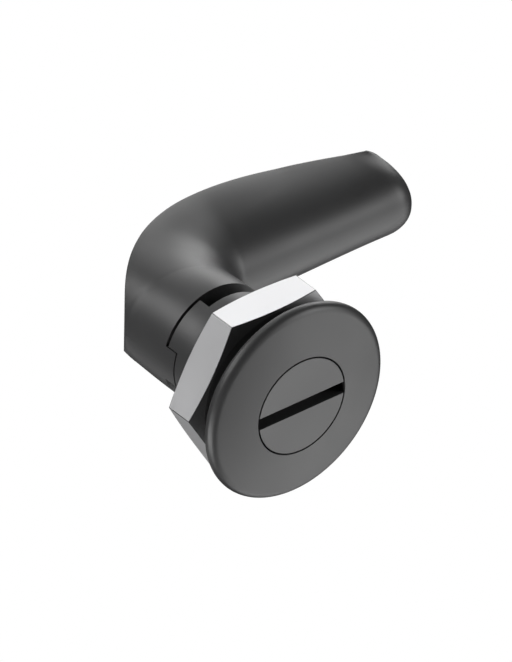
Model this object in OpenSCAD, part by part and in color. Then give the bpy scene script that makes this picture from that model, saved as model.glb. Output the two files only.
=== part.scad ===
// Cabinet twist lock: a slotted plug in a round flanged housing turns an L-shaped locking arm
// by a quarter turn behind the panel. Millimetres. +X is the arm's direction when locked,
// -Y is the front, +Z is up. The origin is on the lock axis, in the plane of the flange's rear face.

/* [Flange] */
// Outer diameter of the flange
flange_d = 32; // [30:0.5:40]
// Height of the domed face in front of the panel
face_h = 3.1; // [2.8:0.1:4]
// Distance of the widest part of the rim from the panel
rim_back = 1; // [0.7:0.1:1.2]
// Radius of the rounded rim
rim_r = 1; // [0.6:0.1:1.4]

/* [Barrel] */
// Nominal diameter of the thread
thread_d = 20; // [19:0.5:21]
// Length of the thread behind the flange
thread_len = 12.7; // [12:0.1:16]
// Diameter of the collar behind the thread
collar_d = 18.7; // [17.5:0.1:18.8]
// Length of the barrel from the flange to the end of the collar
barrel_len = 14.95; // [14.5:0.05:20]
// Relief chamfer at the end of the thread
thread_end_c = 0.65; // [0.2:0.05:0.8]

/* [Nut] */
// Width of the nut across its flats
nut_af = 27; // [24:0.5:30]
// Thickness of the nut
nut_h = 6; // [4:0.1:7]
// Distance of the nut from the flange, which is the thickness of the panel
panel_gap = 3; // [1.5:0.1:4]
// Angle of the chamfers on the nut's corners
nut_chamfer = 15; // [10:1:25]

/* [Seal under the flange] */
// Outer diameter of the gasket
gasket_d = 28; // [26:0.5:29]
// Thickness of the gasket
gasket_h = 1.2; // [0.8:0.1:1.5]
// Height of the gasket in front of the panel plane that is let into the flange
gasket_sunk = 1; // [0.5:0.1:1.2]

/* [Plug] */
// Diameter of the plug's head
head_d = 16; // [14:0.1:17]
// Thickness of the plug's head
head_h = 4.6; // [4.2:0.1:5.5]
// Diameter of the plug's shaft
shaft_d = 12; // [11.4:0.1:12.5]
// Running clearance of the plug in the housing, on the radius
plug_play = 0.05; // [0.03:0.01:0.1]
// Small chamfer on the edges of the gap round the head
gap_chamfer = 0.12; // [0.05:0.01:0.3]
// Width of the driver slot
slot_w = 2; // [1.6:0.1:3]
// Depth of the driver slot
slot_depth = 3; // [2:0.1:3.5]
// Size of the square drive across its flats
square_w = 8; // [7:0.1:8.2]
// Length of the square drive
square_len = 6.5; // [5:0.1:7]
// Thickness of the seal ring's section
seal_t = 1.3; // [1:0.05:1.6]
// Distance of the seal groove's middle behind the head
seal_back = 3.2; // [2.5:0.1:5]

/* [Quarter turn stop] */
// Angle that the arm turns through
turn_angle = 90; // [60:5:100]
// Angle that each of the hub's two lugs takes up
lug_angle = 36; // [30:1:40]
// Gap at the stops, as an angle
stop_gap = 1; // [0.5:0.5:2]
// Length of the stop tabs behind the collar
tab_len = 2.1; // [1.5:0.1:3]
// Gap between the lugs and the collar
lug_gap = 0.1; // [0.05:0.05:0.3]
// Gap behind the stop tabs
tab_gap = 0.4; // [0.3:0.1:1]

/* [Locking arm] */
// Diameter of the arm's hub
hub_d = 18.8; // [18:0.1:20]
// Reach of the arm from the lock axis to its tip
arm_reach = 44.7; // [38:0.1:60]
// Height of the arm at the elbow
elbow_h = 17.2; // [15:0.1:18]
// Height of the arm at the tip
tip_h = 13.9; // [12:0.1:15]
// Distance of the arm's gripping side from the panel
grip_y = 25.5; // [25:0.1:28]
// Distance of the arm's back from the panel at the elbow
back_y = 39.2; // [38:0.05:42]
// Outer radius of the elbow
elbow_r = 27.6; // [24:0.1:30]
// Inner radius of the elbow
throat_r = 3.2; // [2:0.1:4]
// Place where the hub's straight side ends and the elbow's curve starts, from the panel
side_y = 26.2; // [25:0.1:27]
// Angle that the elbow turns past a right angle
elbow_over = 4.9; // [2:0.1:8]
// Radius of the slight curve of the arm's back
back_r = 98; // [80:1:150]
// Radius of the tip's end, seen from the front
tip_r = 9.2; // [8.5:0.1:20]
// Rounding of the tip's front edge along the arm
tip_round_len = 4; // [1:0.1:5]
// Rounding of the tip's front edge across the arm
tip_round = 2.9; // [1:0.1:3.4]
// Clearance of the square socket on each side
socket_play = 0.1; // [0.05:0.01:0.15]

/* [Arm screw] */
// Nominal diameter of the screw
screw_d = 5; // [4:0.5:5]
// Length of the screw under its head
screw_len = 12; // [10:1:12]
// Diameter of the screw's head
screw_head_d = 8.5; // [7:0.1:8.5]
// Height of the screw's head
screw_head_h = 3.5; // [2.8:0.1:3.8]
// Size of the hexagon socket across its flats
screw_key = 3; // [2.5:0.5:4]
// Outer diameter of both washers
washer_d = 9; // [8:0.1:9.2]
// Thickness of the flat washer
washer_h = 1; // [0.5:0.1:1.2]
// Thickness of the split washer
spring_h = 1.2; // [0.8:0.1:1.4]
// Thickness of the arm's wall under the washers
web_h = 2.5; // [2:0.1:3]

/* [Hidden] */
$fn = 96;
cut = 1;                          // how far a cut runs past the face that it opens
black = [0.16, 0.16, 0.17];
plated = [0.80, 0.81, 0.83];
rubber = [0.07, 0.07, 0.07];

// Radii
thread_r = thread_d / 2;
collar_r = collar_d / 2;
shaft_r = shaft_d / 2;
head_r = head_d / 2;
head_bore_r = head_r + plug_play;
shaft_bore_r = shaft_r + plug_play;
hub_r = hub_d / 2;

// Clearances of the pieces that don't run on each other
thread_play = 0.05;               // nut on the thread, on the radius
tap_play = 0.1;                   // screw in its tapped hole, on the diameter
screw_hole_d = screw_d + 0.5;
washer_bore_d = screw_d + 0.3;
pocket_d = washer_d + 0.6;
join = 0.5;                       // how far two bodies of one piece run into each other

// Places along the lock axis, counted from the panel plane towards the inside
head_seat_y = head_h - face_h;
tab_end_y = barrel_len + tab_len;
lug_end_y = barrel_len + lug_gap;
hub_y = tab_end_y + tab_gap;
square_end_y = hub_y + square_len;
web_y = square_end_y + 0.2;       // leaves the square free of the arm's wall
washer_y = web_y + web_h;
spring_y = washer_y + washer_h;
screw_head_y = spring_y + spring_h;
screw_end_y = screw_head_y - screw_len;
tapped_len = square_end_y - screw_end_y + 1.5;  // the hole is deeper than the screw

// The face is the arc that passes through the rim of the head's bore
// and is tangent to the round of the flange's edge.
rim_c = flange_d / 2 - rim_r;
dome_d = face_h - rim_back;
dome_g = dome_d / rim_r;
dome_f = (head_bore_r ^ 2 - rim_c ^ 2 + dome_d ^ 2 + rim_r ^ 2) / (2 * rim_r) - rim_r;
dome_t = (sqrt((dome_f * dome_g) ^ 2 - (dome_g ^ 2 - 1) * (dome_f ^ 2 - rim_c ^ 2))
          - dome_f * dome_g) / (dome_g ^ 2 - 1);
dome_r = dome_f + rim_r + dome_g * dome_t;
dome_y = dome_t - rim_back;       // centre of the face's arc, behind the panel plane
dome_start = asin((head_bore_r + gap_chamfer) / dome_r);
dome_end = atan2(rim_c, dome_t);
rim_end = asin(min(1, rim_back / rim_r));

split_angle = 8;                  // opening of the split washer

// The gasket's groove and the seal's groove
gasket_w = 3;
gasket_r = gasket_d / 2;
seal_groove_r = shaft_r - seal_t;
seal_groove_w = 1.2 * seal_t;
seal_y = head_seat_y + seal_back;

// The arm's outline, seen from above: the hub's straight side, an arc that crosses it for the elbow
// and a longer arc for the back
elbow_start = asin((side_y - back_y + elbow_r) / elbow_r);
elbow_c = [elbow_r * cos(elbow_start) - hub_r, back_y - elbow_r];
elbow_turn = 90 + elbow_over;
elbow_end = elbow_c + elbow_r * [cos(180 - elbow_turn), sin(180 - elbow_turn)];
back_c = elbow_end - back_r * [cos(180 - elbow_turn), sin(180 - elbow_turn)];
throat_c = [hub_r + throat_r, grip_y - throat_r];
skirt_h = 1;                      // stretch of the hub that is a true cylinder
skirt_lip = 0.01;                 // keeps it clear of the blended part's own surface
lug_play = 0.2;                   // gap between the lugs and the shaft, past the bore's own clearance
root_sunk = 0.4;                  // how far the blended part's first section lies inside it

// A point of the lock, given from the front with its distance from the panel plane
module from_front() rotate([90, 0, 0]) mirror([0, 0, 1]) children();

// A ring sector between two radii, from one angle to another
module sector(r_in, r_out, a0, a1, h)
    rotate([0, 0, a0]) rotate_extrude(angle = a1 - a0)
        translate([r_in, 0]) square([r_out - r_in, h]);

// Points of an arc
function arc(c, r, a0, a1, n) =
    [for (i = [0 : n]) let (a = a0 + (a1 - a0) * i / n) c + r * [cos(a), sin(a)]];

// Housing

module housing_profile()
    polygon(concat(
        [[shaft_bore_r, head_seat_y], [head_bore_r, head_seat_y],
         [head_bore_r, -face_h + gap_chamfer]],
        arc([0, dome_y], dome_r, -90 + dome_start, -90 + dome_end, 24),
        arc([rim_c, -rim_back], rim_r, -90 + dome_end, rim_end, 12),
        [[gasket_r, 0], [gasket_r, -gasket_sunk],
         [gasket_r - gasket_w, -gasket_sunk], [gasket_r - gasket_w, 0], [thread_r, 0],
         [thread_r, thread_len - thread_end_c], [collar_r, thread_len],
         [collar_r, tab_end_y], [shaft_bore_r, tab_end_y]]));

module housing()
    color(black) from_front()
        difference() {
            rotate_extrude() housing_profile();
            for (a = [0, 180])
                translate([0, 0, barrel_len])
                    sector(0, collar_r + cut, a - lug_angle / 2 - stop_gap,
                           a + lug_angle / 2 + turn_angle + stop_gap, tab_len + cut);
        }

// Flat ring that is let into the rear of the flange
module panel_gasket()
    color(rubber) from_front() translate([0, 0, -gasket_sunk])
        difference() {
            cylinder(h = gasket_h, r = gasket_r);
            translate([0, 0, -cut]) cylinder(h = gasket_h + 2 * cut, r = gasket_r - gasket_w);
        }

// Nut with both faces chamfered
module hex_nut()
    color(plated) from_front() translate([0, 0, panel_gap])
        difference() {
            intersection() {
                cylinder(h = nut_h, d = nut_af / cos(30), $fn = 6);
                nut_chamfer_body();
            }
            translate([0, 0, -cut]) cylinder(h = nut_h + 2 * cut, r = thread_r + thread_play);
        }

// Double cone that cuts the nut's corners
module nut_chamfer_body() {
    corner_r = nut_af / cos(30) / 2;
    face_r = 0.97 * nut_af / 2;
    rise = (corner_r - face_r) * tan(nut_chamfer);
    rotate_extrude()
        polygon([[0, 0], [face_r, 0], [corner_r, rise],
                 [corner_r, nut_h - rise], [face_r, nut_h], [0, nut_h]]);
}

// Plug

module plug_profile()
    polygon([[0, -face_h], [head_r - gap_chamfer, -face_h], [head_r, -face_h + gap_chamfer],
             [head_r, head_seat_y - plug_play], [shaft_r, head_seat_y - plug_play],
             [shaft_r, seal_y - seal_groove_w / 2], [seal_groove_r, seal_y - seal_groove_w / 2],
             [seal_groove_r, seal_y + seal_groove_w / 2], [shaft_r, seal_y + seal_groove_w / 2],
             [shaft_r, hub_y], [0, hub_y]]);

module plug()
    color(black) from_front()
        difference() {
            union() {
                rotate_extrude() plug_profile();
                translate([-square_w / 2, -square_w / 2, hub_y - join])
                    cube([square_w, square_w, square_len + join]);
            }
            translate([-head_d, -slot_w / 2, -face_h - cut]) cube([2 * head_d, slot_w, slot_depth + cut]);
            translate([0, 0, square_end_y - tapped_len])
                cylinder(h = tapped_len + cut, d = screw_d + tap_play);
        }

module plug_o_ring()
    color(rubber) from_front() translate([0, 0, seal_y])
        rotate_extrude() translate([seal_groove_r + seal_t / 2, 0]) circle(d = seal_t, $fn = 48);

// Locking arm

// Each section of the arm is an ellipse whose outer side is cut flat by the arm's back.
// Station 0 is the hub, 1 the start of the elbow, elbow_s its end and elbow_s + 1 the tip.
ring_n = 20;                      // steps round the curved side of a section
wall_n = 10;                      // steps across its flat side
all_n = ring_n + wall_n;
hub_steps = 5;
elbow_steps = 14;
lever_steps = 6;
edge_steps = 4;
elbow_s = 3.2;
knee_s = 1.5;                     // station in the elbow where the flat side has widened
hub_cut = 0.992;                  // how far the flat lies behind the section's widest line at the hub,
knee_cut = 0.63;                  // in the elbow,
elbow_cut = 0.15;                 // at the elbow's end
tip_cut = 0;                      // and at the tip, as a share of the half width

function mix(a, b, t) = a + (b - a) * t;
function half_h(s) = s <= 1 ? mix(hub_r, elbow_h / 2, s * s * (3 - 2 * s))
                            : mix(elbow_h, tip_h, ((s - 1) / elbow_s) ^ 3) / 2;
function flat_cut(s) = s <= 1 ? hub_cut
                     : s <= knee_s ? mix(hub_cut, knee_cut, ((s - 1) / (knee_s - 1)) ^ 1.5)
                     : s <= elbow_s ? mix(elbow_cut, knee_cut, ((elbow_s - s) / (elbow_s - knee_s)) ^ 2.5)
                     : mix(elbow_cut, tip_cut, s - elbow_s);

// Points of a section as [share of the way from the back to the gripping side, height].
// The rounding of the tip pulls them inwards, most in front and not at all at the back's edges.
function shape(s, inset) =
    let (k = flat_cut(s), h = half_h(s), edge = 180 - acos(k), w = (elbow_end[1] - grip_y) / (1 + k))
    concat(
        [for (i = [0 : ring_n])
            let (a = edge * (2 * i / ring_n - 1), nx = cos(a) / w, nz = sin(a) / h,
                 pull = inset * (1 - pow(abs(a) / edge, 4)) / norm([nx, nz]))
            [max(0, (cos(a) + k) / (1 + k) - pull * nx / (w * (1 + k))), h * sin(a) - pull * nz]],
        [for (i = [1 : wall_n - 1]) [0, h * sin(edge) * sin(90 * (1 - 2 * i / wall_n))]]);

// A section between a point of the back and a point of the gripping side
function section(o, q, s) =
    [for (p = shape(s, 0)) let (e = mix(o, q, p[0])) [e[0], e[1], p[1]]];

// The first section is a little smaller and lies inside the hub's cylinder.
root_ring = [for (p = shape(0, 0)) let (f = 1 - root_sunk / hub_r)
             [f * hub_r * (2 * p[0] - 1), hub_y + skirt_h / 2, f * p[1]]];
function hub_ring_at(t) =
    let (y0 = hub_y + skirt_h + root_sunk / 2)
    section([-hub_r, mix(y0, side_y, t)], [hub_r, mix(y0, throat_c[1], t)], t);
function elbow_ring_at(t) =
    let (a = 180 - mix(elbow_start, elbow_turn, t), b = 180 - 90 * t)
    section(elbow_c + elbow_r * [cos(a), sin(a)], throat_c + throat_r * [cos(b), sin(b)],
            mix(1, elbow_s, t));

// Past the elbow the sections stand across the arm and bend with the curve of the tip.
function tip_x(z) = arm_reach - tip_r + sqrt(max(0, tip_r ^ 2 - z ^ 2));
function back_at(x) = back_c[1] + sqrt(back_r ^ 2 - (x - back_c[0]) ^ 2);
function lever_ring_at(t, inset, pull) =
    [for (p = shape(elbow_s + t, inset))
        let (x = mix(mix(elbow_end[0], throat_c[0], p[0]), tip_x(p[1]), t) - pull)
        [x, mix(back_at(x), grip_y, p[0]), p[1]]];

arm_rings = concat(
    [root_ring],
    [for (i = [0 : hub_steps]) hub_ring_at(i / hub_steps)],
    [for (i = [1 : elbow_steps]) elbow_ring_at(i / elbow_steps)],
    [for (i = [1 : lever_steps]) lever_ring_at(i / lever_steps, 0, tip_round_len * i / lever_steps)],
    [for (i = [1 : edge_steps])
        let (a = 90 * i / edge_steps)
        lever_ring_at(1, tip_round * (1 - cos(a)), tip_round_len * (1 - sin(a)))]);

module arm_loft() {
    last = (len(arm_rings) - 1) * all_n;
    polyhedron(
        points = [for (r = arm_rings) each r],
        faces = concat(
            [[for (k = [0 : all_n - 1]) (ring_n / 2 + all_n - k) % all_n]],
            [for (i = [0 : len(arm_rings) - 2], k = [0 : all_n - 1])
                let (a = i * all_n + k, b = i * all_n + (k + 1) % all_n)
                each [[a, b, a + all_n], [b, b + all_n, a + all_n]]],
            [for (k = [0 : wall_n - 1])
                let (a = last + 2 * k, c = last + (all_n - k) % all_n, d = last + all_n - k - 1)
                each concat(k == 0 ? [] : [[a, a + 1, c]],
                            k == wall_n - 1 ? [] : [[a + 1, a + 2, d]],
                            [k == 0 ? [a, a + 1, d] : k == wall_n - 1 ? [a + 1, a + 2, c] : [a + 1, d, c]])]));
}

// Front end of the hub, with the two lugs that meet the housing's tabs
module hub_ring() {
    notch_h = hub_y - lug_end_y;
    from_front() translate([0, 0, lug_end_y])
        difference() {
            cylinder(h = notch_h + skirt_h, r = hub_r + skirt_lip);
            translate([0, 0, -cut]) {
                cylinder(h = notch_h + cut, r = shaft_bore_r + lug_play);
                for (a = [0, 180])
                    sector(0, hub_r + cut, a + lug_angle / 2, a + 180 - lug_angle / 2, notch_h + cut);
            }
        }
}

module locking_arm()
    color(black)
        difference() {
            union() {
                arm_loft();
                hub_ring();
            }
            from_front() {
                translate([-square_w / 2 - socket_play, -square_w / 2 - socket_play, hub_y - cut])
                    cube([square_w + 2 * socket_play, square_w + 2 * socket_play, web_y - hub_y + cut]);
                translate([0, 0, web_y - cut]) cylinder(h = web_h + 2 * cut, d = screw_hole_d);
                translate([0, 0, washer_y]) cylinder(h = back_y, d = pocket_d);
            }
        }

// Screw and washers

module arm_washer()
    color(plated) from_front() translate([0, 0, washer_y])
        difference() {
            cylinder(h = washer_h, d = washer_d);
            translate([0, 0, -cut]) cylinder(h = washer_h + 2 * cut, d = washer_bore_d);
        }

// Ring with a split
module lock_washer()
    color(plated) from_front() translate([0, 0, spring_y])
        sector(washer_bore_d / 2, washer_d / 2, split_angle, 360, spring_h);

module arm_screw()
    color(plated) from_front()
        difference() {
            union() {
                translate([0, 0, screw_end_y]) cylinder(h = screw_len + join, d = screw_d);
                translate([0, 0, screw_head_y]) cylinder(h = screw_head_h, d = screw_head_d);
            }
            translate([0, 0, screw_head_y + screw_head_h / 2])
                cylinder(h = screw_head_h, d = screw_key / cos(30), $fn = 6);
        }

housing();
panel_gasket();
hex_nut();
plug();
plug_o_ring();
locking_arm();
arm_washer();
lock_washer();
arm_screw();
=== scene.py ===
"""Cabinet twist lock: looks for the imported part.

A slotted plug in a round flanged housing turns an L-shaped locking arm behind the panel.
Lengths in this file are millimetres in the part's own frame: +X is the arm's direction,
-Y is the front and +Z is up. The lock axis is Y. Meshes are scaled to metres when finished.
"""

import logging
import math
from dataclasses import dataclass, field
from enum import Enum

import bmesh
import bpy
from mathutils import Matrix, Vector


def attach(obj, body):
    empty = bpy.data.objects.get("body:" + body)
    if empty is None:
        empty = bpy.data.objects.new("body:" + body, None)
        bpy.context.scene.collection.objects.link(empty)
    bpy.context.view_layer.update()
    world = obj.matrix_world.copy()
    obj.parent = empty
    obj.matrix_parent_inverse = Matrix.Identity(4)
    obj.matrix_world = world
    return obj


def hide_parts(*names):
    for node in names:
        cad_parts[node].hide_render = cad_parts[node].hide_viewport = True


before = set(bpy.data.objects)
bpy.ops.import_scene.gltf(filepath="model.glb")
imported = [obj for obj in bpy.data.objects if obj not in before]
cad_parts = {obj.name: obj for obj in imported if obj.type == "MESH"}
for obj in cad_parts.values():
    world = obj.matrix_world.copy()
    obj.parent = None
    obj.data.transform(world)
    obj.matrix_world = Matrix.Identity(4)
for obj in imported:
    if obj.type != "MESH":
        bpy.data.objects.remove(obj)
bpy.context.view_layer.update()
MM = 0.001
MERGE_MM = 1e-4
LOCK_AXIS = Vector((0.0, 1.0, 0.0))
ROUNDED_EDGE_LAYER = "rounded_edge"
EDGE_DARKEN_SPAN = (0.2, 0.8)
# Sizes of the normal along the axis over which the painted end-face shade fades in.
END_SHADE_SPAN = (0.35, 0.6)
NOISE_SUM_SPAN = (0.6, 1.4)
log = logging.getLogger("twist_lock")


class Body(Enum):
    """Bodies of the frame that pieces ride on."""

    LOCK = "lock_body"
    ARM = "turning_arm"


class Slot(Enum):
    """Material slots of the part's record."""

    BLACK = "black_coat"
    PLUG = "plug_coat"
    ARM = "arm_coat"
    NUT = "nut_plating"
    SCREW = "screw_zinc"
    SEAL = "seal_rubber"


@dataclass(frozen=True)
class Finish:
    """A surface finish made of shader nodes that read Object coordinates.

    Attributes:
        name: name of the material.
        color: base colour, linear.
        roughness: middle roughness.
        roughness_spread: how far the roughness wanders with the cloudy noise.
        metallic: share of metal in the shader.
        grain_mm: size of the fine grain.
        grain_height: height of the grain's bump in micrometres.
        cloud_mm: size of the coarse clouds.
        tint_spread: how far the base colour wanders, as a share.
        end_face_shade: share of the base colour left on faces that look along the lock's axis,
            painted shade that stands in for their dark reflection.
        edge_tint: share of the base colour left on the rounded outer edges.
    """

    name: str
    color: tuple[float, float, float]
    roughness: float
    roughness_spread: float = 0.05
    metallic: float = 0.0
    grain_mm: float = 0.12
    grain_height: float = 1.0
    cloud_mm: float = 9.0
    tint_spread: float = 0.08
    end_face_shade: float = 1.0
    edge_tint: float = 1.0

    def material(self) -> bpy.types.Material:
        """Makes the material, or gives the one made before.

        Returns:
            The material with its node tree.
        """
        found = bpy.data.materials.get(self.name)
        if found:
            return found
        made = bpy.data.materials.new(self.name)
        made.use_nodes = True
        tree = made.node_tree
        shader = next(n for n in tree.nodes if n.type == "BSDF_PRINCIPLED")
        shader.inputs["Metallic"].default_value = self.metallic
        coords = tree.nodes.new("ShaderNodeTexCoord")
        cloudy = self._noise(tree, coords, self.cloud_mm, 3.0)
        grain = self._noise(tree, coords, self.grain_mm, 2.0)
        self._color(tree, shader, cloudy)
        self._roughness(tree, shader, cloudy, grain)
        self._grain(tree, shader, grain)
        return made

    def _noise(self, tree: bpy.types.NodeTree, coords: bpy.types.Node, size: float,
               detail: float) -> bpy.types.Node:
        """Adds a noise texture.

        Args:
            tree: node tree of the material.
            coords: texture coordinate node.
            size: size of the noise's spots.
            detail: detail of the noise.

        Returns:
            The noise node.
        """
        noise = tree.nodes.new("ShaderNodeTexNoise")
        noise.inputs["Scale"].default_value = 1 / (size * MM)
        noise.inputs["Detail"].default_value = detail
        tree.links.new(coords.outputs["Object"], noise.inputs["Vector"])
        return noise

    def _color(self, tree: bpy.types.NodeTree, shader: bpy.types.Node,
               cloudy: bpy.types.Node) -> None:
        """Lets the base colour wander round its middle, paints shade on end faces and darkens
        rounded edges.

        Args:
            tree: node tree of the material.
            shader: the surface shader.
            cloudy: coarse noise.
        """
        ramp = tree.nodes.new("ShaderNodeMix")
        ramp.data_type = "RGBA"
        low = [c * (1 - self.tint_spread) for c in self.color]
        high = [c * (1 + self.tint_spread) for c in self.color]
        ramp.inputs["A"].default_value = (*low, 1.0)
        ramp.inputs["B"].default_value = (*high, 1.0)
        tree.links.new(cloudy.outputs["Fac"], ramp.inputs["Factor"])
        color = ramp.outputs["Result"]
        # Painted shade: faces that look along the lock's axis are darkened, standing in for the
        # dark reflection on them.
        if self.end_face_shade != 1.0:
            normal = tree.nodes.new("ShaderNodeTexCoord").outputs["Normal"]
            parts = tree.nodes.new("ShaderNodeSeparateXYZ")
            tree.links.new(normal, parts.inputs["Vector"])
            size = tree.nodes.new("ShaderNodeMath")
            size.operation = "ABSOLUTE"
            tree.links.new(parts.outputs["Y"], size.inputs[0])
            color = self._tinted(tree, color, size.outputs["Value"], END_SHADE_SPAN,
                                 self.end_face_shade)
        # Darker on the rounded edges: the colour is multiplied by edge_tint there.
        if self.edge_tint != 1.0:
            edge_mark = tree.nodes.new("ShaderNodeAttribute")
            edge_mark.attribute_name = ROUNDED_EDGE_LAYER
            color = self._tinted(tree, color, edge_mark.outputs["Fac"], EDGE_DARKEN_SPAN, self.edge_tint)
        tree.links.new(color, shader.inputs["Base Color"])

    def _tinted(self, tree: bpy.types.NodeTree, color: bpy.types.NodeSocket,
                mask: bpy.types.NodeSocket, span: tuple[float, float],
                share: float) -> bpy.types.NodeSocket:
        """Multiplies a colour where a mask is high.

        Args:
            tree: node tree of the material.
            color: the colour.
            mask: value that says where.
            span: values of the mask at which the change starts and is full.
            share: what the colour is multiplied by where the change is full.

        Returns:
            The new colour.
        """
        fade = tree.nodes.new("ShaderNodeMapRange")
        fade.inputs["From Min"].default_value, fade.inputs["From Max"].default_value = span
        tree.links.new(mask, fade.inputs["Value"])
        mix = tree.nodes.new("ShaderNodeMix")
        mix.data_type = "RGBA"
        mix.blend_type = "MULTIPLY"
        mix.inputs["B"].default_value = (share, share, share, 1.0)
        tree.links.new(color, mix.inputs["A"])
        tree.links.new(fade.outputs["Result"], mix.inputs["Factor"])
        return mix.outputs["Result"]

    def _roughness(self, tree: bpy.types.NodeTree, shader: bpy.types.Node,
                   cloudy: bpy.types.Node, grain: bpy.types.Node) -> None:
        """Lets the roughness wander with both noises.

        Args:
            tree: node tree of the material.
            shader: the surface shader.
            cloudy: coarse noise.
            grain: fine noise.
        """
        both = tree.nodes.new("ShaderNodeMath")
        both.operation = "ADD"
        tree.links.new(cloudy.outputs["Fac"], both.inputs[0])
        tree.links.new(grain.outputs["Fac"], both.inputs[1])
        span = tree.nodes.new("ShaderNodeMapRange")
        low, high = NOISE_SUM_SPAN
        span.inputs["From Min"].default_value = low
        span.inputs["From Max"].default_value = high
        span.inputs["To Min"].default_value = self.roughness - self.roughness_spread
        span.inputs["To Max"].default_value = self.roughness + self.roughness_spread
        tree.links.new(both.outputs["Value"], span.inputs["Value"])
        tree.links.new(span.outputs["Result"], shader.inputs["Roughness"])

    def _grain(self, tree: bpy.types.NodeTree, shader: bpy.types.Node,
               grain: bpy.types.Node) -> None:
        """Adds the fine grain as a bump.

        Args:
            tree: node tree of the material.
            shader: the surface shader.
            grain: fine noise.
        """
        bump = tree.nodes.new("ShaderNodeBump")
        bump.inputs["Strength"].default_value = 1.0
        bump.inputs["Distance"].default_value = self.grain_height * MM * MM
        tree.links.new(grain.outputs["Fac"], bump.inputs["Height"])
        tree.links.new(bump.outputs["Normal"], shader.inputs["Normal"])


BLACK_COAT = Finish("satin_black_coat", (0.03, 0.03, 0.0305), 0.43)
PLUG_COAT = Finish("satin_black_plug", (0.035, 0.035, 0.0355), 0.40)
# The plating carries painted shade on its end faces, standing in for their dark reflection.
PLATING = Finish("bright_nickel_plating", (0.70, 0.70, 0.71), 0.42, metallic=1.0, grain_height=0.3,
                 tint_spread=0.03, roughness_spread=0.03, end_face_shade=0.3, edge_tint=0.3)
ZINC = Finish("zinc_plating", (0.55, 0.56, 0.58), 0.32, metallic=1.0, grain_height=0.8)
RUBBER = Finish("black_rubber", (0.02, 0.02, 0.02), 0.65, grain_mm=0.3, grain_height=6.0)


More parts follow.
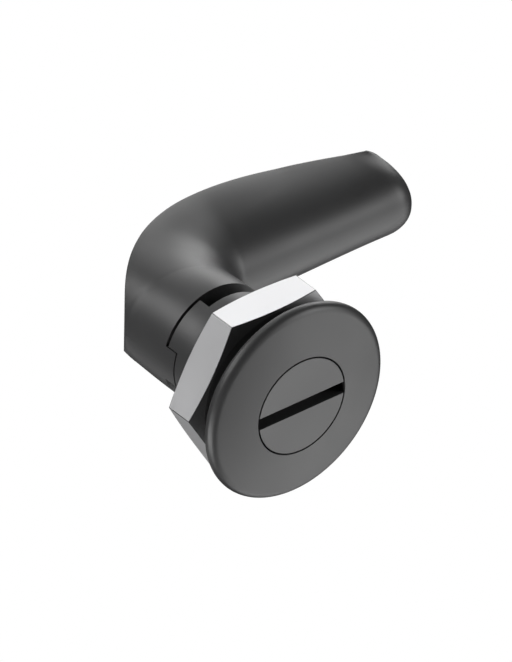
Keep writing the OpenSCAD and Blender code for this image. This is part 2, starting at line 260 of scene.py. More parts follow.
class Shape:
    """A mesh under construction, in millimetres."""

    def __init__(self) -> None:
        """Starts an empty mesh whose faces can be marked as rounded edges."""
        self.bm = bmesh.new()
        self.edge_mark = self.bm.faces.layers.float.new(ROUNDED_EDGE_LAYER)

    def start_ring(self, points: list[Vector]) -> list[bmesh.types.BMVert]:
        """Starts a closed ring of vertices.

        Args:
            points: places of the ring's vertices, in order.

        Returns:
            The ring's vertices in order.
        """
        made = bmesh.ops.create_circle(self.bm, cap_ends=False, radius=1, segments=len(points))
        ring = made["verts"]
        for vert, point in zip(ring, points):
            vert.co = point
        return ring

    def next_ring(self, ring: list[bmesh.types.BMVert],
                  points: list[Vector]) -> list[bmesh.types.BMVert]:
        """Extrudes a closed ring and moves the new one into place.

        Args:
            ring: vertices of the ring to extrude.
            points: places of the new ring's vertices, in the same order.

        Returns:
            The new ring's vertices in order.
        """
        edges = [self.bm.edges.get((a, b)) for a, b in zip(ring, ring[1:] + ring[:1])]
        out = bmesh.ops.extrude_edge_only(self.bm, edges=edges)
        fresh = {g for g in out["geom"] if isinstance(g, bmesh.types.BMVert)}
        new = []
        for vert, point in zip(ring, points):
            twin = next(e.other_vert(vert) for e in vert.link_edges if e.other_vert(vert) in fresh)
            twin.co = point
            new.append(twin)
        return new

    def cap(self, ring: list[bmesh.types.BMVert]) -> None:
        """Closes a ring with one face."""
        bmesh.ops.contextual_create(self.bm, geom=ring)

    def spin(self, profile: list[tuple[float, float]], steps: int = 180, angle: float = math.tau,
             start: float = 0.0, closed: bool = True) -> None:
        """Turns a profile about the lock axis.

        Args:
            profile: points as (radius, place along the lock axis).
            steps: number of steps.
            angle: angle to turn through, in radians.
            start: angle of the profile's own plane, from +X towards +Z.
            closed: whether the profile's last point joins its first.
        """
        turn = Matrix.Rotation(-start, 3, LOCK_AXIS)
        verts = [self.bm.verts.new(turn @ Vector((r, y, 0.0))) for r, y in profile]
        pairs = list(zip(verts, verts[1:])) + ([(verts[-1], verts[0])] if closed else [])
        edges = [self.bm.edges.new(p) for p in pairs]
        full = math.isclose(angle, math.tau)
        bmesh.ops.spin(self.bm, geom=verts + edges, cent=(0, 0, 0), axis=-LOCK_AXIS, angle=angle,
                       steps=steps, use_merge=full, use_duplicate=False)
        if full:
            bmesh.ops.remove_doubles(self.bm, verts=self.bm.verts[:], dist=MERGE_MM)

    def push(self, faces: list[bmesh.types.BMFace], shift: Vector) -> None:
        """Extrudes faces and moves them.

        Args:
            faces: the faces to push out.
            shift: how far and where to.
        """
        out = bmesh.ops.extrude_face_region(self.bm, geom=faces)
        moved = [g for g in out["geom"] if isinstance(g, bmesh.types.BMVert)]
        bmesh.ops.delete(self.bm, geom=faces, context="FACES")
        bmesh.ops.translate(self.bm, verts=moved, vec=shift)

    def soften(self, edges: list[bmesh.types.BMEdge], width: float, segments: int = 2) -> None:
        """Rounds edges and marks the new faces as rounded edges.

        Args:
            edges: the edges to round.
            width: width of the rounding.
            segments: number of faces across it.
        """
        made = bmesh.ops.bevel(self.bm, geom=edges, offset=width, offset_type="OFFSET",
                               affect="EDGES", segments=segments, profile=0.5, material=-1,
                               clamp_overlap=True)
        for face in made["faces"]:
            face[self.edge_mark] = 1.0

    def sharp_edges(self, degrees: float) -> list[bmesh.types.BMEdge]:
        """Edges whose faces meet at more than an angle.

        Args:
            degrees: the angle.

        Returns:
            The edges.
        """
        return [e for e in self.bm.edges
                if len(e.link_faces) == 2 and e.calc_face_angle(0.0) > math.radians(degrees)]

    def object(self, name: str, smooth_degrees: float = 30.0) -> bpy.types.Object:
        """Makes the finished object, in metres.

        Args:
            name: name of the piece.
            smooth_degrees: edges that meet at a smaller angle are shaded smooth.

        Returns:
            The object, at the origin.
        """
        bmesh.ops.remove_doubles(self.bm, verts=self.bm.verts[:], dist=MERGE_MM)
        bmesh.ops.recalc_face_normals(self.bm, faces=self.bm.faces[:])
        bmesh.ops.scale(self.bm, vec=(MM, MM, MM), verts=self.bm.verts[:])
        mesh = bpy.data.meshes.new(name)
        self.bm.to_mesh(mesh)
        self.bm.free()
        mesh.shade_smooth()
        mesh.set_sharp_from_angle(angle=math.radians(smooth_degrees))
        made = bpy.data.objects.new(name, mesh)
        bpy.context.scene.collection.objects.link(made)
        return made


def cut_away(target: bpy.types.Object, cutters: list[bpy.types.Object],
             smooth_degrees: float = 30.0) -> None:
    """Cuts shapes out of a piece and removes the cutters.

    Args:
        target: the piece.
        cutters: closed shapes to take away.
        smooth_degrees: edges that meet at a smaller angle are shaded smooth.
    """
    for cutter in cutters:
        tool = target.modifiers.new("cut", "BOOLEAN")
        tool.operation = "DIFFERENCE"
        tool.solver = "EXACT"
        tool.object = cutter
    graph = bpy.context.evaluated_depsgraph_get()
    mesh = bpy.data.meshes.new_from_object(target.evaluated_get(graph))
    target.modifiers.clear()
    target.data = mesh
    mesh.shade_smooth()
    mesh.set_sharp_from_angle(angle=math.radians(smooth_degrees))
    for cutter in cutters:
        bpy.data.objects.remove(cutter)


def dress(piece: bpy.types.Object, finish: Finish, body: Body, slot: Slot, *nodes: str) -> None:
    """Gives a piece its finish and its place in the part.

    Args:
        piece: the finished object.
        finish: its surface finish.
        body: body of the frame that it rides on.
        slot: not used.
        nodes: nodes of the frame that it stands for.
    """
    piece.data.materials.clear()
    piece.data.materials.append(finish.material())
    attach(piece, body.value)
    if nodes:
        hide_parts(*nodes)
    log.info("%s: %d faces", piece.name, len(piece.data.polygons))


def arc(cx: float, cy: float, r: float, a0: float, a1: float, n: int) -> list[tuple[float, float]]:
    """Points of an arc in a profile.

    Args:
        cx: radius of the arc's centre from the lock axis.
        cy: place of the centre along the lock axis.
        r: radius of the arc.
        a0: first angle in degrees.
        a1: last angle in degrees.
        n: number of steps.

    Returns:
        The points as (radius, place along the axis).
    """
    return [(cx + r * math.cos(math.radians(a0 + (a1 - a0) * i / n)),
             cy + r * math.sin(math.radians(a0 + (a1 - a0) * i / n))) for i in range(n + 1)]


@dataclass
class Housing:
    """Flanged housing with its thread, collar and stop tabs.

    The flange's face is a shallow dome that runs into a roll at the rim. Behind the thread
    a collar carries the tabs that stop the arm.
    """

    face_h: float = 3.1
    rim_back: float = 1.0
    rim_r: float = 1.0
    rim_c: float = 15.0
    roll_w: float = 1.6
    roll_h: float = 1.2
    head_bore_r: float = 8.05
    head_seat_y: float = 1.5
    shaft_bore_r: float = 6.05
    gap_chamfer: float = 0.04
    groove_out_r: float = 14.0
    groove_in_r: float = 11.0
    groove_y: float = -1.0
    thread_r: float = 10.0
    core_r: float = 9.08
    thread_len: float = 12.7
    pitch: float = 1.5
    ridge_start: float = 0.8
    ridge_root: float = 0.3
    crest_share: float = 0.09
    collar_r: float = 9.35
    collar_c: float = 0.1
    collar_relief: float = 1.0
    barrel_len: float = 14.84
    tab_len: float = 2.1
    tab_angles: tuple[tuple[int, int], ...] = ((109, 161), (289, 341))
    turn_steps: int = 360
    ridge_steps: int = 72
    face_steps: int = 24
    roll_steps: int = 14
    rim_steps: int = 12

    def front_roll(self, degrees: float) -> tuple[float, float]:
        """Point of the rim's front half, a quarter of an ellipse.

        Args:
            degrees: angle of the point, 0 at the rim and -90 at the front.

        Returns:
            The point as (radius, place along the axis).
        """
        a = math.radians(degrees)
        outer = self.rim_c + self.rim_r
        return (outer - self.roll_w * (1 - math.cos(a)),
                -self.rim_back + self.roll_h * math.sin(a))

    def face_arc(self) -> tuple[float, float, float, float, float]:
        """Arc of the domed face, through the bore's rim and tangent to the rounded edge.

        Returns:
            Its centre's place and its radius, and in degrees its first and last angle and the
            angle at which the rim's front half starts.
        """
        low, high = -89.9, -30.0
        for _ in range(50):
            roll = (low + high) / 2
            r, y = self.front_roll(roll)
            a = math.radians(roll)
            slope = self.roll_w * math.sin(a) / (self.roll_h * math.cos(a))
            centre_y = y - slope * r
            radius = math.hypot(r, y - centre_y)
            if centre_y - math.sqrt(radius ** 2 - self.head_bore_r ** 2) > -self.face_h:
                low = roll
            else:
                high = roll
        first = math.degrees(math.asin((self.head_bore_r + self.gap_chamfer) / radius)) - 90
        return centre_y, radius, first, math.degrees(math.atan2(y - centre_y, r)), roll

    def profile(self) -> list[tuple[float, float]]:
        """Profile of the housing without its tabs.

        Returns:
            Points as (radius, place along the axis).
        """
        centre_y, radius, first, last, roll = self.face_arc()
        rim_end = math.degrees(math.asin(min(1.0, self.rim_back / self.rim_r)))
        return ([(self.shaft_bore_r, self.head_seat_y), (self.head_bore_r, self.head_seat_y),
                 (self.head_bore_r, -self.face_h + self.gap_chamfer)]
                + arc(0, centre_y, radius, first, last, self.face_steps)
                + [self.front_roll(roll * (1 - i / self.roll_steps))
                   for i in range(1, self.roll_steps)]
                + arc(self.rim_c, -self.rim_back, self.rim_r, 0, rim_end, self.rim_steps)
                + [(self.groove_out_r, 0), (self.groove_out_r, self.groove_y),
                   (self.groove_in_r, self.groove_y), (self.groove_in_r, 0),
                   (self.core_r, 0), (self.core_r, self.thread_len - self.collar_relief),
                   (self.collar_r - self.collar_c, self.thread_len - self.collar_relief / 2),
                   (self.collar_r, self.thread_len), (self.collar_r, self.barrel_len),
                   (self.shaft_bore_r, self.barrel_len)])

    def build(self) -> None:
        """Builds the housing and its thread."""
        shape = Shape()
        shape.spin(self.profile(), steps=self.turn_steps)
        tabs = [f for f in shape.bm.faces if self._under_tab(f)]
        shape.push(tabs, LOCK_AXIS * self.tab_len)
        piece = shape.object("lock_housing")
        dress(piece, BLACK_COAT, Body.LOCK, Slot.BLACK, "housing")
        self.build_thread()

    def _under_tab(self, face: bmesh.types.BMFace) -> bool:
        """Whether a face of the collar's rear carries a tab.

        Args:
            face: a face of the housing.

        Returns:
            True for a face at the collar's rear between a tab's angles.
        """
        centre = face.calc_center_median()
        if abs(centre.y - self.barrel_len) > 1e-3 or abs(face.normal.y) < 0.9:
            return False
        angle = math.degrees(math.atan2(centre.z, centre.x)) % 360
        return any(a < angle < b for a, b in self.tab_angles)

    def build_thread(self) -> None:
        """Builds the thread's ridge as a screw line round the barrel."""
        shape = Shape()
        turns = (self.thread_len - 2 * self.ridge_start) / self.pitch
        crest = self.pitch * self.crest_share
        foot, root = self.pitch / 2 * 0.9, self.pitch / 2 * 0.98
        inner = self.core_r - self.ridge_root
        profile = [(inner, -root), (self.core_r, -foot), (self.thread_r, -crest),
                   (self.thread_r, crest), (self.core_r, foot), (inner, root)]
        verts = [shape.bm.verts.new((r, y + self.ridge_start, 0.0)) for r, y in profile]
        face = shape.bm.faces.new(verts)
        bmesh.ops.spin(shape.bm, geom=[face], cent=(0, 0, 0), axis=-LOCK_AXIS,
                       dvec=(0, self.pitch / self.ridge_steps, 0), angle=turns * math.tau,
                       steps=round(turns * self.ridge_steps), use_duplicate=False)
        piece = shape.object("barrel_thread")
        dress(piece, BLACK_COAT, Body.LOCK, Slot.BLACK)


@dataclass
class PanelSeal:
    """Flat ring in the rear of the flange."""

    r_out: float = 14.0
    r_in: float = 11.0
    y0: float = -1.0
    y1: float = 0.2
    edge: float = 0.15

    def build(self) -> None:
        """Builds the ring."""
        shape = Shape()
        shape.spin([(self.r_in, self.y0), (self.r_out, self.y0), (self.r_out, self.y1 - self.edge),
                    (self.r_out - self.edge, self.y1), (self.r_in + self.edge, self.y1),
                    (self.r_in, self.y1 - self.edge)], steps=144)
        dress(shape.object("flange_seal"), RUBBER, Body.LOCK, Slot.SEAL, "panel_gasket")


@dataclass
class HexNut:
    """Mounting nut with chamfered corners."""

    af: float = 27.0
    height: float = 6.0
    y0: float = 3.0
    bore_r: float = 10.05
    chamfer_degrees: float = 15.0
    face_share: float = 0.97
    bore_c: float = 0.6
    edge: float = 0.11
    edge_steps: int = 3
    sharp_degrees: float = 25.0
    smooth_degrees: float = 8.0
    steps: int = 180

    def hex_r(self, angle: float) -> float:
        """Distance of the hexagon's outline from the axis at an angle in radians."""
        turned = (angle + math.pi / 6) % (math.pi / 3) - math.pi / 6
        return self.af / 2 / math.cos(abs(turned) - math.pi / 6)

    def ring(self, radius: float | None, y: float, chamfer: float = 0.0) -> list[Vector]:
        """Points of a ring of the nut.

        Args:
            radius: radius of a round ring, or None for the hexagon's outline.
            y: place along the axis of the ring's flat parts.
            chamfer: 1 or -1 where the outline's height follows the front or rear chamfer.

        Returns:
            The points in order.
        """
        face_r = self.face_share * self.af / 2
        slope = math.tan(math.radians(self.chamfer_degrees))
        points = []
        for i in range(self.steps):
            a = math.tau * i / self.steps
            r = self.hex_r(a) if radius is None else radius
            points.append(Vector((r * math.cos(a), y + chamfer * (r - face_r) * slope,
                                  r * math.sin(a))))
        return points

    def build(self) -> None:
        """Builds the nut ring by ring."""
        shape = Shape()
        y1 = self.y0 + self.height
        face_r = self.face_share * self.af / 2
        mouth_r = self.bore_r + self.bore_c
        first = ring = shape.start_ring(self.ring(self.bore_r, self.y0 + self.bore_c))
        for points in (self.ring(mouth_r, self.y0), self.ring(face_r, self.y0),
                       self.ring(None, self.y0, 1.0), self.ring(None, y1, -1.0),
                       self.ring(face_r, y1), self.ring(mouth_r, y1),
                       self.ring(self.bore_r, y1 - self.bore_c)):
            ring = shape.next_ring(ring, points)
        edges = [shape.bm.edges.get((a, b))
                 for r in (first, ring) for a, b in zip(r, r[1:] + r[:1])]
        bmesh.ops.bridge_loops(shape.bm, edges=edges)
        bmesh.ops.recalc_face_normals(shape.bm, faces=shape.bm.faces[:])
        shape.soften(shape.sharp_edges(self.sharp_degrees), self.edge, self.edge_steps)
        dress(shape.object("mounting_nut", self.smooth_degrees), PLATING, Body.LOCK, Slot.NUT,
              "hex_nut")


@dataclass
class Plug:
    """Slotted plug that carries the arm."""

    face_h: float = 3.1
    head_r: float = 7.82
    seat_y: float = 1.45
    shaft_r: float = 6.0
    groove_r: float = 4.7
    groove_y: float = 4.7
    groove_w: float = 1.56
    hub_y: float = 17.45
    square: float = 8.0
    square_end_y: float = 23.95
    square_sink: float = 0.4
    square_edge: float = 0.3
    slot_w: float = 2.0
    slot_depth: float = 3.0
    slot_cutter: tuple[float, float] = (30.0, 5.0)
    seal_r: float = 0.65
    edge: float = 0.04

    def build(self) -> None:
        """Builds the plug with its slot, square and seal."""
        shape = Shape()
        half = self.groove_w / 2
        shape.spin([(0, -self.face_h), (self.head_r - self.edge, -self.face_h),
                    (self.head_r, -self.face_h + self.edge), (self.head_r, self.seat_y),
                    (self.shaft_r, self.seat_y), (self.shaft_r, self.groove_y - half),
                    (self.groove_r, self.groove_y - half), (self.groove_r, self.groove_y + half),
                    (self.shaft_r, self.groove_y + half), (self.shaft_r, self.hub_y),
                    (0, self.hub_y)], steps=180, closed=False)
        plug = shape.object("slotted_plug")
        width, ahead = self.slot_cutter
        cut_away(plug, [self._box("slot", width, (-self.face_h - ahead,
                                                  -self.face_h + self.slot_depth),
                                  self.slot_w)])
        dress(plug, PLUG_COAT, Body.ARM, Slot.PLUG, "plug")
        square = self._box("plug_square", self.square,
                           (self.hub_y - self.square_sink, self.square_end_y), self.square,
                           self.square_edge)
        dress(square, ZINC, Body.ARM, Slot.PLUG)
        seal = Shape()
        seal.spin(arc(self.groove_r + self.seal_r, self.groove_y, self.seal_r, 0, 345, 23),
                  steps=120)
        dress(seal.object("shaft_seal"), RUBBER, Body.ARM, Slot.SEAL, "plug_o_ring")

    def _box(self, name: str, width: float, ys: tuple[float, float], height: float,
             edge: float = 0.0) -> bpy.types.Object:
        """A block on the lock axis.

        Args:
            name: name of the object.
            width: size along X.
            ys: first and last place along the axis.
            height: size along Z.
            edge: rounding of its edges.

        Returns:
            The block.
        """
        shape = Shape()
        placed = Matrix.Translation((0, sum(ys) / 2, 0)) @ Matrix.Diagonal(
            (width, ys[1] - ys[0], height, 1))
        bmesh.ops.create_cube(shape.bm, size=1.0, matrix=placed)
        if edge:
            shape.soften(shape.bm.edges[:], edge)
        return shape.object(name)


@dataclass
class Curve1D:
    """Smooth line through key values, without overshoot."""

    keys: tuple[tuple[float, float], ...]

    def slopes(self) -> list[float]:
        """Slopes at the keys.

        Returns:
            One slope for each key.
        """
        steps = [((v1 - v0) / (s1 - s0), s1 - s0)
                 for (s0, v0), (s1, v1) in zip(self.keys, self.keys[1:])]
        out = [steps[0][0]]
        for (d0, h0), (d1, h1) in zip(steps, steps[1:]):
            if d0 * d1 <= 0:
                out.append(0.0)
            else:
                w0, w1 = 2 * h1 + h0, h1 + 2 * h0
                out.append((w0 + w1) / (w0 / d0 + w1 / d1))
        return out + [steps[-1][0]]

    def __call__(self, s: float) -> float:
        """Value at a place.

        Args:
            s: the place.

        Returns:
            The value.
        """
        slopes = self.slopes()
        s = min(max(s, self.keys[0][0]), self.keys[-1][0])
        i = max(k for k in range(len(self.keys) - 1) if k == 0 or self.keys[k][0] <= s)
        (s0, v0), (s1, v1) = self.keys[i], self.keys[i + 1]
        h = s1 - s0
        t = (s - s0) / h
        return (v0 * (1 + 2 * t) * (1 - t) ** 2 + slopes[i] * h * t * (1 - t) ** 2
                + v1 * t * t * (3 - 2 * t) - slopes[i + 1] * h * t * t * (1 - t))


@dataclass
class LockingArm:
    """L-shaped arm: a pipe whose outer side is cut flat.

    Sections follow one another along the arm. Their station is 0 at the hub's front, elbow_s[0]
    and elbow_s[1] at the elbow's two ends and 1 more at the tip. half_height and flat_cut give
    each station's half height and the place of its flat back, 1 for a full ellipse and 0 for
    half of one.
    """

    hub_r: float = 9.4
    hub_y: float = 17.45
    first_section: float = 1.0
    lug_y: float = 15.05
    reach: float = 44.32
    grip_y: float = 25.5
    throat_r: float = 3.2
    elbow_r: float = 27.58
    side_y: float = 26.25
    back_top: float = 39.17
    elbow_turn: float = 94.75
    back_r: float = 101.0
    tip_len: float = 6.98
    tip_half: float = 7.41
    tip_power: float = 2.65
    tip_round_len: float = 3.2
    tip_round: float = 2.0
    edge_r: float = 0.2
    half_height: Curve1D = field(default_factory=lambda: Curve1D(
        ((-0.5, 9.4), (0, 9.4), (0.5, 9.25), (1, 8.95), (1.5, 8.7), (2.0, 8.52), (2.6, 8.4),
         (3.12, 8.2), (3.2, 8.2), (4.2, 6.87))))
    flat_cut: Curve1D = field(default_factory=lambda: Curve1D(
        ((0, 0.9999), (1, 0.9999), (1.001, 0.999), (1.25, 0.812), (1.5, 0.625), (1.8, 0.432),
         (2.3, 0.208), (3.12, 0.148), (3.2, 0.148), (4.2, 0.005))))
    elbow_s: tuple[float, float] = (1.0, 3.2)
    hub_rings: int = 6
    elbow_rings: int = 40
    lever_rings: int = 24
    tip_rings: int = 8
    tip_strips: tuple[float, ...] = (0.8, 0.55, 0.3, 0.1)
    round_n: int = 56
    corner_n: int = 5
    wall_n: int = 24
    corner_max: float = 1.2
    smooth_degrees: float = 40.0
    window_starts: tuple[float, ...] = (18.0, 198.0)
    window_turn: float = 144.0
    window_r: tuple[float, float] = (0.05, 14.0)
    bore_r: float = 6.25
    pocket_r: float = 4.8
    pocket_ys: tuple[float, float] = (26.65, 45.0)
    screw_hole_r: float = 2.75
    screw_hole_ys: tuple[float, float] = (24.0, 30.0)

    @property
    def elbow_c(self) -> Vector:
        """Centre of the elbow's outer arc, as (x, y)."""
        y = self.back_top - self.elbow_r
        return Vector((self.elbow_r * math.cos(self.elbow_start) - self.hub_r, y))

    @property
    def elbow_start(self) -> float:
        """Angle in radians at which the outer arc leaves the hub's straight side."""
        return math.asin((self.side_y - self.back_top + self.elbow_r) / self.elbow_r)

    @property
    def elbow_end(self) -> Vector:
        """Place where the elbow's outer arc ends, as (x, y)."""
        return self._on_elbow(1.0)

    def _on_elbow(self, t: float) -> Vector:
        """Point of the elbow's outer arc.

        Args:
            t: share of the arc's turn.

        Returns:
            The point as (x, y).
        """
        start = self.elbow_start
        a = math.pi - start - (math.radians(self.elbow_turn) - start) * t
        return self.elbow_c + self.elbow_r * Vector((math.cos(a), math.sin(a)))

    def section(self, s: float, depth: float, inset: float = 0.0) -> list[tuple[float, float]]:
        """Outline of a section.

        Args:
            s: station along the arm.
            depth: size of the section from the flat back to the gripping side.
            inset: how far the tip's rounding has pulled it in.

        Returns:
            Points as (share of the way from the back to the gripping side, height).
        """
        k, h = self.flat_cut(s), self.half_height(s)
        w = depth / (1 + k)
        edge = math.acos(max(-1.0, min(1.0, -k)))
        slope = Vector((w * math.sin(edge), h * abs(math.cos(edge)) * (1 if k >= 0 else -1)))
        along = slope.normalized()
        inner = math.acos(max(-1.0, min(1.0, -along.y)))
        cut = self.edge_r / math.tan(inner / 2) if inner < 3.1 else 0.02
        cut = min(cut, 0.35 * h * math.sin(edge) + MERGE_MM, self.corner_max)
        last = edge - cut / max(slope.length, 1e-6)
        corner = Vector((0.0, h * math.sin(edge)))
        near = Vector((w * (math.cos(last) + k), h * math.sin(last)))
        wall = Vector((0.0, max(corner.y - cut, 0.3 * corner.y)))
        upper = [Vector((w * (math.cos(last * i / self.round_n) + k),
                         h * math.sin(last * i / self.round_n))) for i in range(self.round_n)]
        for i in range(self.corner_n + 1):
            t = i / self.corner_n
            upper.append(near * (1 - t) ** 2 + corner * 2 * t * (1 - t) + wall * t * t)
        upper += [Vector((0.0, wall.y * math.cos(math.pi / 2 * j / self.wall_n)))
                  for j in range(1, self.wall_n + 1)]
        if inset:
            upper = [self._pulled(p, i, w, h, k, inset) for i, p in enumerate(upper)]
        whole = upper + [Vector((p.x, -p.y)) for p in reversed(upper[1:-1])]
        return [(p.x / depth, p.y) for p in whole]

    def _pulled(self, p: Vector, i: int, w: float, h: float, k: float, inset: float) -> Vector:
        """A section's point pulled inwards by the tip's rounding.

        Args:
            p: the point as (distance from the back, height).
            i: its number from the gripping side.
            w: half width of the section's ellipse.
            h: half height of the ellipse.
            k: place of the flat back.
            inset: how far to pull.

        Returns:
            The moved point.
        """
        if i >= self.round_n:
            return p
        c = p.x / w - k
        normal = Vector((c / w, p.y / (h * h)))
        pull = inset * (1 - (i / self.round_n) ** 4)
        normal.normalize()
        return Vector((max(0.0, p.x - pull * normal.x), p.y - pull * normal.y))

    def straight(self, o: Vector, q: Vector, s: float) -> list[Vector]:
        """Section between a point of the back and one of the gripping side.

        Args:
            o: point of the back, as (x, y).
            q: point of the gripping side.
            s: station along the arm.

        Returns:
            The section's points.
        """
        return [Vector((*o.lerp(q, d), z)) for d, z in self.section(s, (q - o).length)]

    def _tip_x(self, z: float) -> float:
        """How far the tip reaches at a height."""
        left = max(0.0, 1 - abs(z / self.tip_half) ** self.tip_power)
        return self.reach - self.tip_len * (1 - left ** (1 / self.tip_power))

    def _back_y(self, x: float) -> float:
        """Place of the arm's back.

        Args:
            x: place along the arm.

        Returns:
            How far the back lies behind the panel's front there.
        """
        turn = math.radians(180 - self.elbow_turn)
        c = self.elbow_end - self.back_r * Vector((math.cos(turn), math.sin(turn)))
        return c.y + math.sqrt(self.back_r ** 2 - (x - c.x) ** 2)

    def lever(self, t: float, pull: float, inset: float = 0.0) -> list[Vector]:
        """Section of the lever.

        Args:
            t: share of the way from the elbow to the tip.
            pull: how far the section stands back from the tip's end.
            inset: how far the tip's rounding has pulled it in.

        Returns:
            The section's points.
        """
        start, throat_x = self.elbow_end.x, self.hub_r + self.throat_r
        depth = self._back_y(start + (self.reach - start) * t) - self.grip_y
        points = []
        for d, z in self.section(self.elbow_s[1] + t, depth, inset):
            x = start + (throat_x - start) * d
            x = x + (self._tip_x(z) - x) * t - pull
            points.append(Vector((x, self._back_y(x) + (self.grip_y - self._back_y(x)) * d, z)))
        return points

    def build(self) -> None:
        """Builds the arm and cuts its lugs, bore and screw pocket."""
        shape = Shape()
        ring = shape.start_ring(self.straight(Vector((-self.hub_r, self.lug_y)),
                                              Vector((self.hub_r, self.lug_y)), 0))
        shape.cap(ring)
        throat_y = self.grip_y - self.throat_r
        y0 = self.hub_y + self.first_section
        for i in range(self.hub_rings + 1):
            t = i / self.hub_rings
            ring = shape.next_ring(ring, self.straight(
                Vector((-self.hub_r, y0 + (self.side_y - y0) * t)),
                Vector((self.hub_r, y0 + (throat_y - y0) * t)), t))
        start, end = self.elbow_s
        for i in range(1, self.elbow_rings + 1):
            t = i / self.elbow_rings
            b = math.radians(180 - 90 * t)
            inner = Vector((self.hub_r + self.throat_r * (1 + math.cos(b)),
                            throat_y + self.throat_r * math.sin(b)))
            ring = shape.next_ring(ring, self.straight(self._on_elbow(t), inner,
                                                       start + (end - start) * t))
        for i in range(1, self.lever_rings + 1):
            t = i / self.lever_rings
            ring = shape.next_ring(ring, self.lever(t, self.tip_round_len * t))
        for i in range(1, self.tip_rings + 1):
            a = math.pi / 2 * i / self.tip_rings
            ring = shape.next_ring(ring, self.lever(1.0, self.tip_round_len * (1 - math.sin(a)),
                                                    self.tip_round * (1 - math.cos(a))))
        self._close_tip(shape, ring)
        arm = shape.object("locking_lever", self.smooth_degrees)
        cut_away(arm, self._cutters(), self.smooth_degrees)
        dress(arm, BLACK_COAT, Body.ARM, Slot.ARM, "locking_arm")

    def _close_tip(self, shape: Shape, ring: list[bmesh.types.BMVert]) -> None:
        """Closes the tip with strips that follow its curved end.

        Args:
            shape: the arm's mesh.
            ring: vertices of the last section.
        """
        depths = [vert.co.y - self._back_y(vert.co.x) for vert in ring]
        for share in self.tip_strips:
            points = []
            for vert, depth in zip(ring, depths):
                x = self._tip_x(vert.co.z)
                points.append(Vector((x, self._back_y(x) + depth * share, vert.co.z)))
            ring = shape.next_ring(ring, points)
        shape.cap(ring)

    def _cutters(self) -> list[bpy.types.Object]:
        """Shapes that are cut out of the arm.

        Returns:
            Cutters for the stop windows, the bore, the screw pocket and the screw hole.
        """
        cutters = []
        front = (self.lug_y - 1, self.hub_y)
        inner, outer = self.window_r
        for start in self.window_starts:
            shape = Shape()
            shape.spin([(inner, front[0]), (outer, front[0]), (outer, front[1]),
                        (inner, front[1])], steps=72, angle=math.radians(self.window_turn),
                       start=math.radians(start))
            ends = [e for e in shape.bm.edges if e.is_boundary]
            bmesh.ops.holes_fill(shape.bm, edges=ends)
            cutters.append(shape.object("window"))
        for name, radius, (y0, y1) in (("bore", self.bore_r, front),
                                       ("pocket", self.pocket_r, self.pocket_ys),
                                       ("screw_hole", self.screw_hole_r, self.screw_hole_ys)):
            shape = Shape()
            shape.spin([(0, y0), (radius, y0), (radius, y1), (0, y1)], steps=96, closed=False)
            cutters.append(shape.object(name))
        return cutters


@dataclass
class ArmScrew:
    """Cap screw and washers that hold the arm."""

    washer_y: float = 26.65
    washer_h: float = 1.0
    spring_h: float = 1.2
    washer_r: float = 4.5
    bore_r: float = 2.65
    head_r: float = 4.25
    head_h: float = 3.5
    head_c: float = 0.4
    shank_r: float = 2.5
    shank_len: float = 12.0
    shank_c: float = 0.4
    key: float = 3.0
    key_depth: float = 1.75
    edge: float = 0.12
    split_degrees: float = 8.0

    def build(self) -> None:
        """Builds the screw and both washers."""
        self._washer()
        self._spring_washer()
        self._screw()

    def _washer(self) -> None:
        """Builds the flat washer."""
        y0, y1, c = self.washer_y, self.washer_y + self.washer_h, self.edge
        shape = Shape()
        shape.spin([(self.bore_r, y0), (self.washer_r - c, y0), (self.washer_r, y0 + c),
                    (self.washer_r, y1 - c), (self.washer_r - c, y1), (self.bore_r + c, y1),
                    (self.bore_r, y1 - c)], steps=96)
        dress(shape.object("flat_washer"), ZINC, Body.ARM, Slot.SCREW, "arm_washer")

    def _spring_washer(self) -> None:
        """Builds the split washer."""
        y0 = self.washer_y + self.washer_h
        y1, c = y0 + self.spring_h, self.edge
        shape = Shape()
        shape.spin([(self.bore_r, y0), (self.washer_r - c, y0), (self.washer_r, y0 + c),
                    (self.washer_r, y1 - c), (self.washer_r - c, y1), (self.bore_r, y1)],
                   steps=88, angle=math.radians(360 - self.split_degrees),
                   start=math.radians(self.split_degrees))
        bmesh.ops.holes_fill(shape.bm, edges=[e for e in shape.bm.edges if e.is_boundary])
        dress(shape.object("spring_washer"), ZINC, Body.ARM, Slot.SCREW, "lock_washer")

    def _screw(self) -> None:
        """Builds the cap screw with its hexagon socket."""
        y0 = self.washer_y + self.washer_h + self.spring_h
        y1, end = y0 + self.head_h, y0 - self.shank_len
        shape = Shape()
        shape.spin([(0, end), (self.shank_r - self.shank_c, end),
                    (self.shank_r, end + self.shank_c), (self.shank_r, y0), (self.head_r, y0),
                    (self.head_r, y1 - self.head_c), (self.head_r - self.head_c, y1), (0, y1)],
                   steps=96, closed=False)
        screw = shape.object("cap_screw")
        key = Shape()
        made = bmesh.ops.create_circle(key.bm, cap_ends=True, segments=6,
                                       radius=self.key / 2 / math.cos(math.pi / 6),
                                       matrix=Matrix.Translation((0, y1 - self.key_depth, 0))
                                       @ Matrix.Rotation(math.pi / 2, 4, "X"))
        face = made["verts"][0].link_faces[0]
        out = bmesh.ops.extrude_face_region(key.bm, geom=[face])
        bmesh.ops.translate(key.bm, vec=LOCK_AXIS * self.head_h,
                            verts=[g for g in out["geom"] if isinstance(g, bmesh.types.BMVert)])
        cut_away(screw, [key.object("key")])
        dress(screw, ZINC, Body.ARM, Slot.SCREW, "arm_screw")


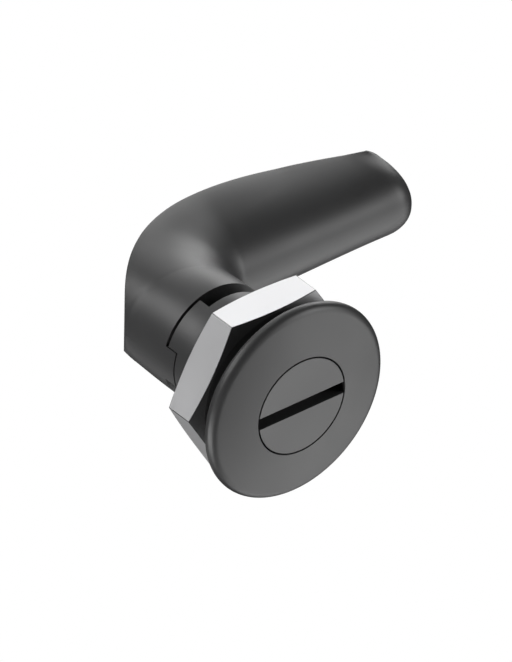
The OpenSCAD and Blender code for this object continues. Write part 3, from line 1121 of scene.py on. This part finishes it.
@dataclass(frozen=True)
class SoftLight:
    """A wide, far lamp.

    Attributes:
        name: its name.
        toward: direction from the lock to the light.
        strength: its strength in watts per square metre.
        spread_degrees: angle that it fills in the sky.
    """

    name: str
    toward: tuple[float, float, float]
    strength: float
    spread_degrees: float = 28.0

    def build(self) -> None:
        """Hangs the light in its direction."""
        data = bpy.data.lights.new(self.name, "SUN")
        data.angle = math.radians(self.spread_degrees)
        data.energy = self.strength
        light = bpy.data.objects.new(self.name, data)
        way = Vector(self.toward).normalized()
        light.location = way
        light.rotation_mode = "QUATERNION"
        light.rotation_quaternion = way.to_track_quat("Z", "Y")
        bpy.context.scene.collection.objects.link(light)


@dataclass
class Studio:
    """Camera, floor, backdrop and light.

    The camera is a parallel one. off_right and off_up move the picture's middle from a point
    of the lock axis at aim_y, so that the lock stands in the frame as in the photograph.
    """

    azimuth: float = -38.92
    elevation: float = 35.49
    roll: float = 0.82
    view_height: float = 96.08
    off_right: float = -5.152
    off_up: float = 9.772
    aim_y: float = -0.7
    camera_back: float = 300.0
    floor_z: float = -30.0
    floor_half: float = 3000.0
    lights: tuple[SoftLight, ...] = (
        SoftLight("high_left", (-0.77, -0.03, 0.64), 1.30),
        SoftLight("front_right", (0.66, -0.72, 0.22), 1.30),
        SoftLight("low_left", (-0.86, 0.01, -0.51), 1.30),
        SoftLight("low_front_left", (-0.67, -0.42, -0.61), 1.30),
        SoftLight("high_rear_left", (-0.53, 0.63, 0.57), 1.22),
        SoftLight("high_right", (0.81, 0.38, 0.45), 0.77),
        SoftLight("front", (0.55, -0.80, -0.22), 0.52),
        SoftLight("high_rear_right", (0.51, 0.79, 0.34), 0.52),
        SoftLight("top", (0.03, 0.32, 0.95), 0.48),
        SoftLight("bottom", (0.24, -0.29, -0.93), 0.47),
        SoftLight("low_front_right", (0.64, -0.59, -0.49), 0.46),
        SoftLight("rear_right", (0.78, 0.59, 0.18), 0.46),
        SoftLight("low_right", (0.56, -0.33, -0.76), 0.34),
        SoftLight("low_front", (0.34, -0.67, -0.66), 0.29),
        SoftLight("high_rear", (0.19, 0.84, 0.51), 0.25),
        SoftLight("low_rear", (-0.20, 0.64, -0.74), 0.11),
    )

    def axes(self) -> tuple[Vector, Vector, Vector]:
        """Camera axes.

        Returns:
            Its right, up and backward directions.
        """
        a, e, r = (math.radians(v) for v in (self.azimuth, self.elevation, self.roll))
        back = Vector((math.sin(a) * math.cos(e), -math.cos(a) * math.cos(e), math.sin(e)))
        right = Vector((math.cos(a), math.sin(a), 0))
        up = back.cross(right)
        return (math.cos(r) * right + math.sin(r) * up, math.cos(r) * up - math.sin(r) * right,
                back)

    def build(self) -> None:
        """Builds the studio."""
        self._camera()
        self._floor()
        self._backdrop()
        for light in self.lights:
            light.build()
        bpy.context.scene.view_settings.view_transform = "Standard"

    def _camera(self) -> None:
        """Puts the camera at the photograph's angle."""
        right, up, back = self.axes()
        look = (LOCK_AXIS * self.aim_y + right * self.off_right + up * self.off_up) * MM
        data = bpy.data.cameras.new("camera")
        data.type = "ORTHO"
        data.sensor_fit = "VERTICAL"
        data.ortho_scale = self.view_height * MM
        data.clip_start, data.clip_end = 0.001, 10
        camera = bpy.data.objects.new("camera", data)
        turn = Matrix((right, up, back)).transposed().to_4x4()
        camera.matrix_world = Matrix.Translation(look + back * self.camera_back * MM) @ turn
        bpy.context.scene.collection.objects.link(camera)
        bpy.context.scene.camera = camera

    def _backdrop(self) -> None:
        """Makes a white world that the camera sees and that gives no light."""
        world = bpy.data.worlds.new("studio")
        world.use_nodes = True
        bpy.context.scene.world = world
        backdrop = world.node_tree.nodes["Background"]
        backdrop.inputs["Color"].default_value = (1.0, 1.0, 1.0, 1.0)
        backdrop.inputs["Strength"].default_value = 1.0
        seen = world.cycles_visibility
        seen.diffuse = seen.glossy = seen.transmission = seen.scatter = False

    def _floor(self) -> None:
        """Builds the pale floor, which takes no shadow and hides no light from the lock."""
        shape = Shape()
        bmesh.ops.create_grid(shape.bm, x_segments=1, y_segments=1, size=self.floor_half,
                              matrix=Matrix.Translation((0, 0, self.floor_z)))
        floor = shape.object("floor")
        pale = bpy.data.materials.new("pale_floor")
        pale.use_nodes = True
        shader = next(n for n in pale.node_tree.nodes if n.type == "BSDF_PRINCIPLED")
        shader.inputs["Base Color"].default_value = (0.0, 0.0, 0.0, 1)
        shader.inputs["Specular IOR Level"].default_value = 0.0
        shader.inputs["Emission Color"].default_value = (1, 1, 1, 1)
        shader.inputs["Emission Strength"].default_value = 1.0
        floor.data.materials.append(pale)
        floor.visible_diffuse = floor.visible_glossy = False
        floor.visible_transmission = floor.visible_shadow = False


def main() -> None:
    """Builds the lock and the studio and logs what it built."""
    logging.basicConfig(level=logging.INFO, format="%(name)s %(message)s")
    for part in (Housing(), PanelSeal(), HexNut(), Plug(), LockingArm(), ArmScrew()):
        part.build()
        log.info("built %s", type(part).__name__)
    Studio().build()


if __name__ == "__main__":
    main()
